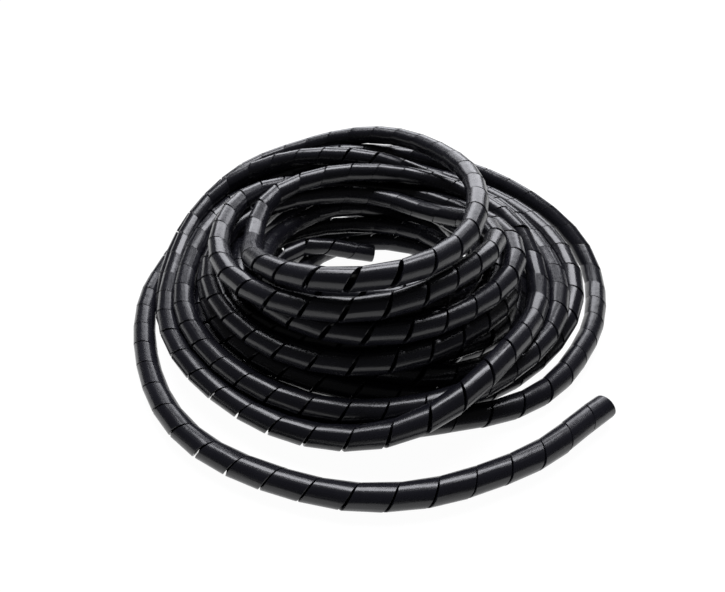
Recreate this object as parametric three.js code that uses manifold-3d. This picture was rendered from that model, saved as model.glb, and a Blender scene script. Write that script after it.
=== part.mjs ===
// Spiral cable wrap: ten metres of black wrap lying in a loose heaped coil, with its free tail in front.
// Millimetres, +Z up, standing on z = 0, the coil's turning axis along Z.

import * as THREE from 'three';
import { mergeVertices } from 'three/addons/utils/BufferGeometryUtils.js';
import Module from 'manifold-3d';

const wasm = await Module();
wasm.setup();

// Driving dimensions
const wrapDiameter = 12; // outside diameter of the wrap, bands closed up
const boreRadius = 66; // clear radius inside the coil
const baseRadius = 116; // from the axis to the middle of the outermost turn on the floor
const layers = 7; // turns one above another
const layerRise = 11.2; // height from one layer to the next, the turns settled between each other
const slopeStep = 5.5; // how far each layer's outermost turn steps in from the one below
const clearance = 0.3; // gap where a loose stretch meets the coil
const drawnRadius = 116; // the base radius that the loose stretches' points are given for

// Fineness of the solids
const coilSides = 44; // facets round the coil
const bulgeFacets = 3; // facets over each turn that shows
const bulgeSpread = Math.PI / 3; // how far a turn shows in the section, each side of its middle
const tubeSides = 10; // facets round a loose stretch
const tubeStep = 2.5; // length of one tube step, in wrap diameters
const weldDistance = 1e-4; // corners closer than this are one corner

const wrapRadius = wrapDiameter / 2;
const innerRadius = boreRadius + wrapRadius;

const wrapPlastic = new THREE.MeshStandardMaterial({
  color: 0x111112,
  roughness: 0.33,
  metalness: 0,
});

// The free tail: from its cut end at the right, across the front and the left, up over the heap's back,
// down at the right and in under the front. Each point is [right, back, rise above lying on the floor].
const tailRoute = [
  [121, -86, 0],
  [110, -93.5, 0],
  [93, -106.5, 0],
  [77, -116.5, 0],
  [61, -123.5, 0],
  [42, -130.5, 0],
  [25, -134.5, 0],
  [7, -136, 0],
  [-10, -135, 0],
  [-27, -131, 0],
  [-45, -125, 0],
  [-66, -115, 0],
  [-84, -102, 0],
  [-101, -83, 0],
  [-116, -57, 0],
  [-127, -27, 0],
  [-133, 5, 0],
  [-134, 32, 0],
  [-129, 59, 5],
  [-113, 86, 15],
  [-90, 104, 30],
  [-62, 109, 43],
  [-30, 109, 52],
  [0, 106, 54],
  [28, 102, 53],
  [54, 99, 49],
  [81, 98, 43],
  [104, 92, 36],
  [126, 79, 27],
  [144, 62, 16],
  [153, 42, 6],
  [153, 22, 0],
  [147.5, 3, 0],
  [137.5, -21.5, 0],
  [120.5, -47.5, 0],
  [100, -70.5, 0],
  [79, -84, 0],
  [58, -91, 0],
];

// The second loose turn, which leans out of the coil at the right.
const looseTurnRoute = [
  [72, 70, 38],
  [96, 74, 33],
  [115, 57, 27],
  [127, 25, 18],
  [126, -10, 9],
  [110, -40, 3],
  [86, -62, 0],
];

// An arc of the profile over one turn, between two angles measured up from the horizontal outward direction.
function bulge(radius, height, reach, fromAngle, toAngle) {
  const points = [];
  for (let i = 0; i <= bulgeFacets; i += 1) {
    const angle = fromAngle + ((toAngle - fromAngle) * i) / bulgeFacets;
    points.push(new THREE.Vector2(radius + reach * Math.cos(angle), height + reach * Math.sin(angle)));
  }
  return points;
}

// The coil's section, grown outward by a margin: up the outer slope, over the top turns, down the bore.
function coilProfile(margin) {
  const reach = wrapRadius + margin;
  const floorLevel = -margin;
  const slopeAngle = Math.atan2(slopeStep, layerRise);
  const topHeight = wrapRadius + (layers - 1) * layerRise;
  const topOuter = baseRadius - (layers - 1) * slopeStep;
  const points = [new THREE.Vector2(baseRadius + reach, floorLevel)];
  points.push(...bulge(baseRadius, wrapRadius, reach, 0, slopeAngle + bulgeSpread));
  for (let layer = 1; layer < layers - 1; layer += 1) {
    const radius = baseRadius - layer * slopeStep;
    const height = wrapRadius + layer * layerRise;
    points.push(...bulge(radius, height, reach, slopeAngle - bulgeSpread, slopeAngle + bulgeSpread));
  }
  points.push(...bulge(topOuter, topHeight, reach, slopeAngle - bulgeSpread, Math.PI / 2));
  points.push(...bulge(innerRadius, topHeight, reach, Math.PI / 2, Math.PI + bulgeSpread));
  for (let layer = layers - 2; layer > 0; layer -= 1) {
    const height = wrapRadius + layer * layerRise;
    points.push(...bulge(innerRadius, height, reach, Math.PI - bulgeSpread, Math.PI + bulgeSpread));
  }
  points.push(...bulge(innerRadius, wrapRadius, reach, Math.PI - bulgeSpread, Math.PI));
  points.push(new THREE.Vector2(innerRadius - reach, floorLevel));
  points.push(points[0].clone());
  return points;
}

// The ring turned from that section, with its axis brought upright.
function coilRing(margin) {
  const geometry = new THREE.LatheGeometry(coilProfile(margin), coilSides);
  geometry.rotateX(Math.PI / 2);
  return geometry;
}

// A plain tube along a list of points, lifted wherever the smooth curve would dip below the floor.
function tubeAlong(route) {
  const spread = baseRadius / drawnRadius;
  const points = route.map(([x, y, rise]) => new THREE.Vector3(spread * x, spread * y, wrapRadius + rise));
  const curve = new THREE.CatmullRomCurve3(points);
  const steps = Math.ceil(curve.getLength() / (tubeStep * wrapDiameter));
  const laid = curve.getSpacedPoints(steps).map((point) => point.setZ(Math.max(point.z, wrapRadius)));
  const path = new THREE.CatmullRomCurve3(laid);
  const section = new THREE.Shape();
  for (let i = 0; i < tubeSides; i += 1) {
    const angle = (2 * Math.PI * i) / tubeSides;
    const x = wrapRadius * Math.cos(angle);
    const y = wrapRadius * Math.sin(angle);
    if (i === 0) {
      section.moveTo(x, y);
    } else {
      section.lineTo(x, y);
    }
  }
  section.closePath();
  return new THREE.ExtrudeGeometry(section, { steps, extrudePath: path, bevelEnabled: false });
}

function toSolid(geometry) {
  const bare = geometry.clone();
  bare.deleteAttribute('normal');
  bare.deleteAttribute('uv');
  const merged = mergeVertices(bare, weldDistance);
  return new wasm.Manifold(new wasm.Mesh({
    numProp: 3,
    vertProperties: new Float32Array(merged.attributes.position.array),
    triVerts: new Uint32Array(merged.index.array),
  }));
}

function toGeometry(solid) {
  const mesh = solid.getMesh();
  const geometry = new THREE.BufferGeometry();
  geometry.setAttribute('position', new THREE.BufferAttribute(mesh.vertProperties, 3));
  geometry.setIndex(new THREE.BufferAttribute(mesh.triVerts, 1));
  geometry.computeVertexNormals();
  return geometry;
}

// A loose stretch, cut off where it runs in under the coil's turns.
function looseStretch(route) {
  const tube = toSolid(tubeAlong(route));
  return toGeometry(tube.subtract(toSolid(coilRing(clearance))));
}

function addPiece(group, name, geometry) {
  const mesh = new THREE.Mesh(geometry, wrapPlastic);
  mesh.name = name;
  group.add(mesh);
}

const spiralWrap = new THREE.Group();
addPiece(spiralWrap, 'coil', coilRing(0));
addPiece(spiralWrap, 'tail', looseStretch(tailRoute));
addPiece(spiralWrap, 'loose_turn', looseStretch(looseTurnRoute));

// The origin is under the middle of everything, on the floor.
const extent = new THREE.Box3().setFromObject(spiralWrap);
const middle = extent.getCenter(new THREE.Vector3());
spiralWrap.position.set(-middle.x, -middle.y, -extent.min.z);

export default spiralWrap;
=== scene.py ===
"""Dresses the spiral cable wrap: one long left-handed band of glossy black plastic, wound round a
route that lies as a heaped coil with its free tail in front."""

import math

import bpy
import numpy as np
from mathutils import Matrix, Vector


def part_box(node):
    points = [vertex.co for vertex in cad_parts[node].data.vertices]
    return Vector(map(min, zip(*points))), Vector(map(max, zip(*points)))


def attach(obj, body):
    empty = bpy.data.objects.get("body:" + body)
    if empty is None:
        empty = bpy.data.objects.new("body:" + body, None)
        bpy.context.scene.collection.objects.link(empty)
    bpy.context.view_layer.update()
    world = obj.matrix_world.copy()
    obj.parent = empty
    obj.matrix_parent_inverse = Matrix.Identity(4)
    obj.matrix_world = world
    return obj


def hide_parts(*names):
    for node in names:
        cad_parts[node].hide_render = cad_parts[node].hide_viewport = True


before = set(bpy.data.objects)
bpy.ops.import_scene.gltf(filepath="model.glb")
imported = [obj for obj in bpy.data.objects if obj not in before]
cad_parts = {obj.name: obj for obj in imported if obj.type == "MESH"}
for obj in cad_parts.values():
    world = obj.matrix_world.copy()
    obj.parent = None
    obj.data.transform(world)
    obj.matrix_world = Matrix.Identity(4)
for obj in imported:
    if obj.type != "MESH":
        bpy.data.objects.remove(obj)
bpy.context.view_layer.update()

MM = 0.001

# The wrap, in metres
WRAP_DIAMETER = 12 * MM  # outside, with the bands closed up
WRAP_RADIUS = WRAP_DIAMETER / 2
WALL = 1.2 * MM
BAND_WIDTH = 17.2 * MM  # along the wrap
EDGE_BEVEL = 0.2 * MM
UNEVENNESS = 0.1 * MM  # of the wrap's outside
OUTSIDE_WAVES = ((0.043, 0.3), (0.061, 1.9))  # its waves: length in metres, and start
FLOOR_PLAY = 0.24 * MM  # room for the wrap's unevenness where it lies on the floor
END_TRIM = 0.06  # turns by which the band stops short at each end, so that no corner stands proud

# The gaps between the band's turns
TAIL_GAP = 0.2 * MM
COIL_GAP = 0.15 * MM
GAP_WANDER = 0.2 * MM  # how far the coil's gaps waver
TAIL_WANDER = 0.2  # the share of that in the free tail, whose gaps are more even
GAP_WAVES = ((0.31, 0.4), (0.53, 2.1), (1.37, 4.0))
TAIL_LENGTH = 0.75  # of even gaps
TAIL_FADE = 0.5  # over which they become the coil's
BEND_OPENING = 0.45  # the share of a bend's stretch that opens the gaps
BEND_SPREAD = 15 * MM  # how far a bend opens them to each side

# Fineness of the route and of the band
SPAN_PIECES = 4  # pieces of the route between two stations of a turn
ROUTE_STEP = 1.5 * MM
BAND_SEGMENTS = 24  # steps round one turn of the band

# The camera, from the coil's axis, and its view
CAMERA_PLACE = (0, -265 * MM, 209 * MM)
PITCH_DOWN = math.radians(36.8)
FOCAL_PIXELS = 530
IMAGE_WIDTH = 725

# The coil's axis stands over the middle of its CAD ring
coil_low, coil_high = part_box("coil")
AXIS_X = (coil_low.x + coil_high.x) / 2
AXIS_Y = (coil_low.y + coil_high.y) / 2

# The free tail and the outermost loose turn: right, back, and rise above lying on the floor, in millimetres
TAIL = [
    (121, -86, 0), (110, -93.5, 0), (93, -106.5, 0), (77, -116.5, 0), (61, -123.5, 0), (42, -130.5, 0),
    (25, -134.5, 0), (7, -136, 0), (-10, -135, 0), (-27, -131, 0), (-45, -125, 0), (-66, -115, 0),
    (-84, -102, 0), (-101, -83, 0), (-116, -57, 0), (-127, -27, 0), (-133, 5, 0), (-134, 32, 0),
    (-129, 59, 5), (-113, 86, 15), (-90, 104, 30), (-62, 109, 43), (-30, 109, 52), (0, 106, 54),
    (28, 102, 53), (54, 99, 49), (81, 98, 43), (104, 92, 36), (126, 79, 27), (144, 62, 16),
    (153, 42, 6), (153, 22, 0), (147.5, 3, 0), (137.5, -21.5, 0), (120.5, -47.5, 0), (100, -70.5, 0),
    (79, -84, 0), (58, -91, 0),
]

# The coil's turns, in order along the wrap, from the tail to the inner end. Each has the distance from the
# axis and then the height of the strand's middle, in millimetres, where it passes the front, front left,
# left, back left, back, back right, right and front right.
TURNS = [
    ((101, 97, 125, 137, 111, 80, 63, 64), (6, 6, 7, 40, 72, 77, 77, 75)),
    ((73, 67, 63, 75, 74, 88, 103, 101), (75, 65, 51, 56, 61, 51, 26, 29)),
    ((108, 108, 116, 127, 89, 108, 119, 103), (11, 12, 19, 46, 64, 40, 23, 18)),
    ((100, 99, 109, 118, 99, 122, 125, 101), (18, 19, 21, 41, 57, 40, 28, 6)),
    ((85, 84, 95, 104, 99, 99, 89, 81), (19, 20, 22, 33, 44, 34, 30, 33)),
    ((83, 84, 87, 81, 71, 62, 74, 69), (33, 34, 37, 44, 45, 46, 57, 62)),
    ((74, 77, 82, 90, 82, 79, 87, 79), (59, 56, 52, 52, 46, 47, 46, 46)),
    ((76, 68, 73, 94, 110, 110, 82, 70), (46, 42, 38, 36, 53, 30, 38, 34)),
    ((70, 71, 84, 108, 112, 98, 76, 71), (33, 30, 24, 18, 42, 20, 26, 18)),
    ((80, 86, 98, 118, 114, 127, 104, 84), (6, 8, 10, 14, 28, 26, 7, 6)),
    ((76, 72, 80, 93, 99, 86, 70, 66), (21, 18, 12, 10, 31, 30, 42, 54)),
    ((67, 64, 61, 70, 85, 104, 90, 80), (59, 52, 40, 32, 30, 10, 14, 20)),
    ((70, 72, 112, 127, 119, 116, 78, 68), (7, 6, 6, 20, 7, 15, 20, 36)),
    ((71, 70, 70, 78, 82, 78, 70, 66), (42, 38, 28, 20, 17, 16, 20, 22)),
    ((66, 63, 63, 73, 90, 116, 96, 78), (18, 18, 8, 6, 6, 6, 6, 6)),
    ((64, 56, 52, 58, 72, 77, 74, 66), (6, 6, 6, 6, 6, 6, 6, 12)),
    ((64, 67, 67, 64), (14, 16, 17, 15)),
]
STATIONS = 8  # places where each turn is given
SHOWN_TURNS = 8  # how many of them, from the first, the camera mostly sees

# The inner end, which comes down to the floor inside the coil: right, back and rise, as for the tail
INNER_END = [(-36, 48, 10), (-16, 51, 6), (7, 54, 2)]


def smooth_line(points, pieces):
    """Points on a smooth curve through the given ones, so many to each span."""
    knots = np.asarray(points, float)
    knots = np.vstack([2 * knots[0] - knots[1], knots, 2 * knots[-1] - knots[-2]])
    before, here, there, after = knots[:-3], knots[1:-2], knots[2:-1], knots[3:]
    rows = []
    for piece in range(pieces):
        t = piece / pieces
        rows.append(
            0.5 * (2 * here + (there - before) * t
                   + (2 * before - 5 * here + 4 * there - after) * t ** 2
                   + (3 * here - before - 3 * there + after) * t ** 3)
        )
    curve = np.stack(rows, 1).reshape(-1, knots.shape[1])
    return np.vstack([curve, knots[-2]])


def even_steps(line, step):
    """The same line with its points as near as possible to one step apart."""
    lengths = np.linalg.norm(np.diff(line[:, :3], axis=0), axis=1)
    along = np.concatenate([[0], np.cumsum(lengths)])
    count = max(2, round(along[-1] / step) + 1)
    wanted = np.linspace(0, along[-1], count)
    return np.stack([np.interp(wanted, along, column) for column in line.T], 1)


def laid(points):
    """Given points, lifted so that the wrap's middle is a radius above what it lies on."""
    return [(x * MM, y * MM, rise * MM + WRAP_RADIUS) for x, y, rise in points]


def coil_turns():
    """The coil's turns as points, worked out from the given stations of each turn."""
    given = [pair for radii, heights in TURNS for pair in zip(radii, heights)]
    points = []
    for i, (radius, height) in enumerate(smooth_line(given, SPAN_PIECES)):
        bearing = -math.pi / 2 - 2 * math.pi * i / (STATIONS * SPAN_PIECES)
        points.append((radius * MM * math.cos(bearing), radius * MM * math.sin(bearing), height * MM))
    return points


def stiffening():
    """How the wrap's stiffness shares one point's move among its neighbours."""
    reach = 24
    stiffness = 2.5
    count = 2 * reach + 1
    curl = np.diff(np.eye(count), 2, axis=0)
    return np.linalg.inv(np.eye(count) + stiffness * curl.T @ curl)[reach]


SHARES = stiffening()


def stiffen(line):
    """The line, or the moves of its points, evened out as a stiff tube does."""
    reach = len(SHARES) // 2
    start = 2 * line[0] - line[reach:0:-1]
    end = 2 * line[-1] - line[-2:-reach - 2:-1]
    longer = np.vstack([start, line, end])
    return np.stack([np.convolve(column, SHARES, "valid") for column in longer.T], 1)


def settle(line):
    """Pushes strands of the wrap apart where they would run into each other, and keeps them off the floor.

    A strand that is in view gives way less than a hidden one, and moves mostly along the line of sight."""
    step = 6 * MM
    apart = 11.8 * MM  # nearer than this, strands push
    watched = apart + 8 * MM  # strands nearer than this are kept in mind until the next search
    least_distance = 0.01 * MM
    same_strand = 6  # points this near along the wrap don't push each other
    rounds = 460
    early_rounds = 300
    search_every = 10
    firm_in_view = 0.6  # how much less a strand in view gives way
    crowding = 0.7  # the share of its touches that damps a point's move
    pull_home = 0.003
    early_pull_in_view = 0.05
    late_pull_in_view = 0.012

    line = even_steps(line, step)
    count = len(line)
    order = np.arange(count)
    home = stiffen(line[:, :3])
    shown = line[:, 3:]
    nodes = home.copy()
    sight = home - np.array(CAMERA_PLACE)
    sight /= np.linalg.norm(sight, axis=1)[:, None]
    yielding = 1 - firm_in_view * shown[:, 0]
    for turn in range(rounds):
        if turn % search_every == 0:
            squares = (nodes ** 2).sum(1)
            gaps = squares[:, None] + squares[None, :] - 2 * nodes @ nodes.T
            near = (gaps < watched ** 2) & (order[None, :] - order[:, None] > same_strand)
            first, second = np.nonzero(near)
        heading = np.gradient(nodes, axis=0)
        heading /= np.linalg.norm(heading, axis=1)[:, None]
        across = nodes[second] - nodes[first]
        slide = np.clip((across * heading[second]).sum(1), -step / 2, step / 2)
        across -= slide[:, None] * heading[second]
        distance = np.maximum(np.linalg.norm(across, axis=1), least_distance)
        touching = distance < apart
        push = ((apart - distance) / distance)[:, None] * across
        share = (yielding[first] / (yielding[first] + yielding[second]))[:, None]
        move = np.zeros_like(nodes)
        touches = np.zeros(count)
        np.add.at(move, first[touching], -(push * share)[touching])
        np.add.at(move, second[touching], (push * (1 - share))[touching])
        np.add.at(touches, first[touching], 1)
        np.add.at(touches, second[touching], 1)
        nodes = nodes + move / np.maximum(1, crowding * touches)[:, None]
        back = home - nodes
        along_sight = (back * sight).sum(1)[:, None] * sight
        pull_in_view = late_pull_in_view if turn > early_rounds else early_pull_in_view
        hold = pull_home + pull_in_view * shown
        nodes += hold * (back - along_sight) + pull_home * along_sight
        nodes = home + stiffen(nodes - home)
        nodes[:, 2] = np.maximum(nodes[:, 2], WRAP_RADIUS + FLOOR_PLAY)
    return nodes


def wrap_route():
    """The whole middle line of the wrap, from the free tail's end to the inner end."""
    outer, turns, inner = laid(TAIL), coil_turns(), laid(INNER_END)
    in_view = len(outer) + SHOWN_TURNS * STATIONS * SPAN_PIECES
    points = [(*point, float(i < in_view)) for i, point in enumerate(outer + turns + inner)]
    route = settle(smooth_line(points, pieces=8))
    route = even_steps(smooth_line(route, pieces=6), ROUTE_STEP)
    return route + np.array([AXIS_X, AXIS_Y, 0])


def carried_frames(line):
    """Headings along a line, and two directions across it that turn as little as possible."""
    heading = np.gradient(line, axis=0)
    heading /= np.linalg.norm(heading, axis=1)[:, None]
    side = np.empty_like(line)
    side[0] = np.cross(heading[0], (0, 0, 1))
    side[0] /= np.linalg.norm(side[0])
    for i in range(1, len(line)):
        turned = side[i - 1] - heading[i] * side[i - 1].dot(heading[i])
        side[i] = turned / np.linalg.norm(turned)
    return heading, side, np.cross(heading, side)


def wander(along, waves):
    """A slow, repeatable wavering between -1 and 1: each wave is its length in metres and its start."""
    return sum(np.sin(2 * np.pi * along / length + start) for length, start in waves) / len(waves)


def band_pitch(heading, along, step):
    """How far one turn of the band runs along the wrap: its width, more on a bend, and the gap."""
    bend = np.linalg.norm(np.gradient(heading, axis=0), axis=1) / step
    reach = round(BEND_SPREAD / step)
    bend = np.convolve(np.pad(bend, reach, "edge"), np.hanning(2 * reach + 1) / reach, "valid")
    stretch = WRAP_RADIUS * bend / (1 - WRAP_RADIUS * bend)
    in_coil = np.clip((along - TAIL_LENGTH) / TAIL_FADE, 0, 1)
    gap = TAIL_GAP + (COIL_GAP - TAIL_GAP) * in_coil
    gap = gap + GAP_WANDER * (TAIL_WANDER + (1 - TAIL_WANDER) * in_coil) * wander(along, GAP_WAVES)
    return BAND_WIDTH * (1 + BEND_OPENING * stretch) + gap


# The corners of the band's section: which edge of the band, how far in from it, and how deep
BAND_CORNERS = (
    (-1, 0, EDGE_BEVEL),
    (-1, EDGE_BEVEL, 0),
    (1, EDGE_BEVEL, 0),
    (1, 0, EDGE_BEVEL),
    (1, 0, WALL),
    (-1, 0, WALL),
)


def wrap_band(route):
    """The band itself: a flat strip with bevelled edges, wound left-handed round the route."""
    heading, side, over = carried_frames(route)
    step = np.linalg.norm(np.diff(route, axis=0), axis=1).mean()
    along = np.arange(len(route)) * step
    length = along[-1]

    pitch = band_pitch(heading, along, step)
    turns = np.concatenate([[0], np.cumsum(step / pitch[:-1])])
    closed_run = math.hypot(math.pi * WRAP_DIAMETER, BAND_WIDTH)
    radius = np.sqrt(closed_run ** 2 - pitch ** 2) / (2 * math.pi)

    ahead = BAND_WIDTH / 2 / pitch[0] - END_TRIM
    wound = np.arange(-ahead, turns[-1] + ahead, 1 / BAND_SEGMENTS)
    first_rate = (turns[1] - turns[0]) / step
    last_rate = (turns[-1] - turns[-2]) / step
    place = np.interp(wound, turns, along)
    place = np.where(wound < 0, wound / first_rate, place)
    place = np.where(wound > turns[-1], length + (wound - turns[-1]) / last_rate, place)
    held = np.clip(place, 0, length)

    def at(directions):
        return np.stack([np.interp(held, along, column) for column in directions.T], 1)

    outside = np.interp(held, along, radius) + UNEVENNESS * wander(place, OUTSIDE_WAVES)
    angle = -2 * math.pi * wound
    radial = np.cos(angle)[:, None] * at(side) + np.sin(angle)[:, None] * at(over)
    middle = at(route)
    ahead_dir = at(heading)
    rings = []
    for edge, inward, deep in BAND_CORNERS:
        across = edge * (BAND_WIDTH / 2 - inward)
        across = np.clip(place + across, 0, length) - held
        rings.append(middle + across[:, None] * ahead_dir + (outside - deep)[:, None] * radial)
    return np.stack(rings, 1), wound, place


def band_mesh(name, points, wound, place):
    """A closed mesh from the band's cross-sections, with a map that unrolls the wrap's surface."""
    sections, corners = points.shape[:2]
    faces = []
    for i in range(sections - 1):
        row = i * corners
        following = row + corners
        for k in range(corners):
            n = (k + 1) % corners
            faces.append((row + k, row + n, following + n, following + k))
    faces.append(tuple(reversed(range(corners))))
    faces.append(tuple((sections - 1) * corners + k for k in range(corners)))
    mesh = bpy.data.meshes.new(name)
    mesh.from_pydata(points.reshape(-1, 3).tolist(), [], faces)
    unrolled = mesh.uv_layers.new(name="unrolled")
    around = wound * math.pi * WRAP_DIAMETER
    shift = np.array([edge for edge, inward, deep in BAND_CORNERS]) * BAND_WIDTH / 2
    vertex_uv = np.stack([np.repeat(around, corners), (place[:, None] + shift[None, :]).ravel()], 1)
    loop_vertices = np.empty(len(mesh.loops), dtype=np.int32)
    mesh.loops.foreach_get("vertex_index", loop_vertices)
    unrolled.data.foreach_set("uv", vertex_uv[loop_vertices].astype(np.float32).ravel())
    obj = bpy.data.objects.new(name, mesh)
    bpy.context.collection.objects.link(obj)
    return obj


class Value:
    """A shader socket that takes part in Python sums, or with no socket a start for its node tree."""

    def __init__(self, tree, socket=None):
        self.tree = tree
        self.socket = socket

    def node(self, kind, output=0, settings=None, **sockets):
        """One output of a new node, with its settings and then the values or links of its sockets."""
        made = self.tree.nodes.new(kind)
        for key, value in (settings or {}).items():
            setattr(made, key, value)
        for key, value in sockets.items():
            socket = made.inputs[int(key[1:])] if key[1:].isdigit() else made.inputs[key]
            if isinstance(value, Value):
                value.feed(socket)
            else:
                socket.default_value = value
        return Value(self.tree, made.outputs[output])

    def feed(self, socket):
        self.tree.links.new(self.socket, socket)

    def __add__(self, other):
        return self.node("ShaderNodeMath", settings={"operation": "ADD"}, i0=self, i1=other)

    def __mul__(self, other):
        return self.node("ShaderNodeMath", settings={"operation": "MULTIPLY"}, i0=self, i1=other)

    __radd__ = __add__
    __rmul__ = __mul__


def black_polyethylene():
    """Glossy black plastic with faint lines drawn along the wrap, a slow ripple and slight dull scuffs."""
    material = bpy.data.materials.new("black_polyethylene")
    material.use_nodes = True
    shader = material.node_tree.nodes["Principled BSDF"]
    start = Value(material.node_tree)
    unrolled = start.node("ShaderNodeUVMap", settings={"uv_map": "unrolled"})
    place = start.node("ShaderNodeTexCoord", "Object")

    def noise(coordinates, per_metre, detail, stretch=(1, 1, 1)):
        moved = start.node("ShaderNodeMapping", Vector=coordinates, Scale=stretch)
        return start.node("ShaderNodeTexNoise", "Fac", Vector=moved, Scale=per_metre, Detail=detail)

    die_lines = noise(unrolled, per_metre=2600, detail=3, stretch=(1, 0.02, 1))
    flutes = noise(unrolled, per_metre=380, detail=1.5, stretch=(1, 0.05, 1))
    ripple = noise(place, per_metre=190, detail=1)
    scuffs = noise(place, per_metre=420, detail=4)
    haze = noise(place, per_metre=35, detail=2)

    colour = start.node(
        "ShaderNodeMix", "Result", {"data_type": "RGBA"}, i0=haze,
        A=(0.006, 0.006, 0.0088, 1), B=(0.012, 0.012, 0.0172, 1),
    )
    colour.feed(shader.inputs["Base Color"])
    rough = 0.14 + 0.08 * scuffs + 0.1 * die_lines + 0.06 * haze
    rough.feed(shader.inputs["Roughness"])
    shader.inputs["IOR"].default_value = 1.5
    height = flutes + 0.12 * die_lines + 0.6 * ripple + 0.05 * scuffs
    bump = start.node("ShaderNodeBump", Height=height, Strength=0.6, Distance=0.3 * MM)
    bump.feed(shader.inputs["Normal"])
    return material


def soft_box(name, position, aim, width, depth, watts):
    light = bpy.data.lights.new(name, "AREA")
    light.shape = "RECTANGLE"
    light.size = width
    light.size_y = depth
    light.energy = watts
    light.color = (0.94, 0.945, 1)
    lamp = bpy.data.objects.new(name, light)
    lamp.location = position
    lamp.rotation_euler = (Vector(aim) - Vector(position)).to_track_quat("-Z", "Y").to_euler()
    bpy.context.collection.objects.link(lamp)


def camera_over_axis():
    """The camera at the photograph's place and angle."""
    camera_data = bpy.data.cameras.new("camera")
    camera_data.lens = camera_data.sensor_width * FOCAL_PIXELS / IMAGE_WIDTH
    camera_data.clip_start = 0.01
    camera = bpy.data.objects.new("camera", camera_data)
    camera.location = Vector(CAMERA_PLACE) + Vector((AXIS_X, AXIS_Y, 0))
    camera.rotation_euler = (math.pi / 2 - PITCH_DOWN, 0, 0)
    bpy.context.collection.objects.link(camera)
    bpy.context.scene.camera = camera


def white_floor():
    """A pale paper floor that glows evenly, so that it stays white under the wrap."""
    bpy.ops.mesh.primitive_plane_add(size=12, location=(0, 0, -0.05 * MM))
    floor = bpy.context.object
    floor.name = "floor"
    paper = bpy.data.materials.new("white_paper")
    paper.use_nodes = True
    shader = paper.node_tree.nodes["Principled BSDF"]
    shader.inputs["Base Color"].default_value = (0.06, 0.06, 0.06, 1)
    shader.inputs["Roughness"].default_value = 1.0
    shader.inputs["Emission Color"].default_value = (1, 1, 1, 1)
    shader.inputs["Emission Strength"].default_value = 0.97
    floor.data.materials.append(paper)


def studio_world():
    """White where it is seen itself, and nearly dark as a light."""
    light_strength = 0.05
    world = bpy.data.worlds.new("studio")
    world.use_nodes = True
    background = world.node_tree.nodes["Background"]
    background.inputs["Color"].default_value = (1, 1, 1, 1)
    seen = Value(world.node_tree).node("ShaderNodeLightPath", "Is Camera Ray")
    (light_strength + (1 - light_strength) * seen).feed(background.inputs["Strength"])
    bpy.context.scene.world = world


def studio():
    """The camera, the floor and soft light from above and behind."""
    camera_over_axis()
    white_floor()
    soft_box("overhead", position=(0, 0.4, 0.95), aim=(0, 0, 0), width=0.9, depth=0.4, watts=13)
    soft_box("back", position=(0.1, 1.7, 0.85), aim=(0, 0, 0.05), width=2.4, depth=0.7, watts=26)
    studio_world()
    bpy.context.scene.view_settings.view_transform = "Standard"


def spiral_wrap(route):
    """The dressed wrap: the band's mesh with smooth shading and its plastic."""
    wrap = band_mesh("spiral_wrap", *wrap_band(route))
    bpy.ops.object.select_all(action="DESELECT")
    wrap.select_set(True)
    bpy.context.view_layer.objects.active = wrap
    bpy.ops.object.mode_set(mode="EDIT")
    bpy.ops.mesh.select_all(action="SELECT")
    bpy.ops.mesh.normals_make_consistent(inside=False)
    bpy.ops.object.mode_set(mode="OBJECT")
    bpy.ops.object.shade_smooth_by_angle(angle=math.radians(30))
    wrap.data.materials.append(black_polyethylene())
    return wrap


bpy.ops.object.select_all(action="DESELECT")
studio()
route = wrap_route()
wrap = spiral_wrap(route)

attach(wrap, "root")
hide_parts("coil", "tail", "loose_turn")
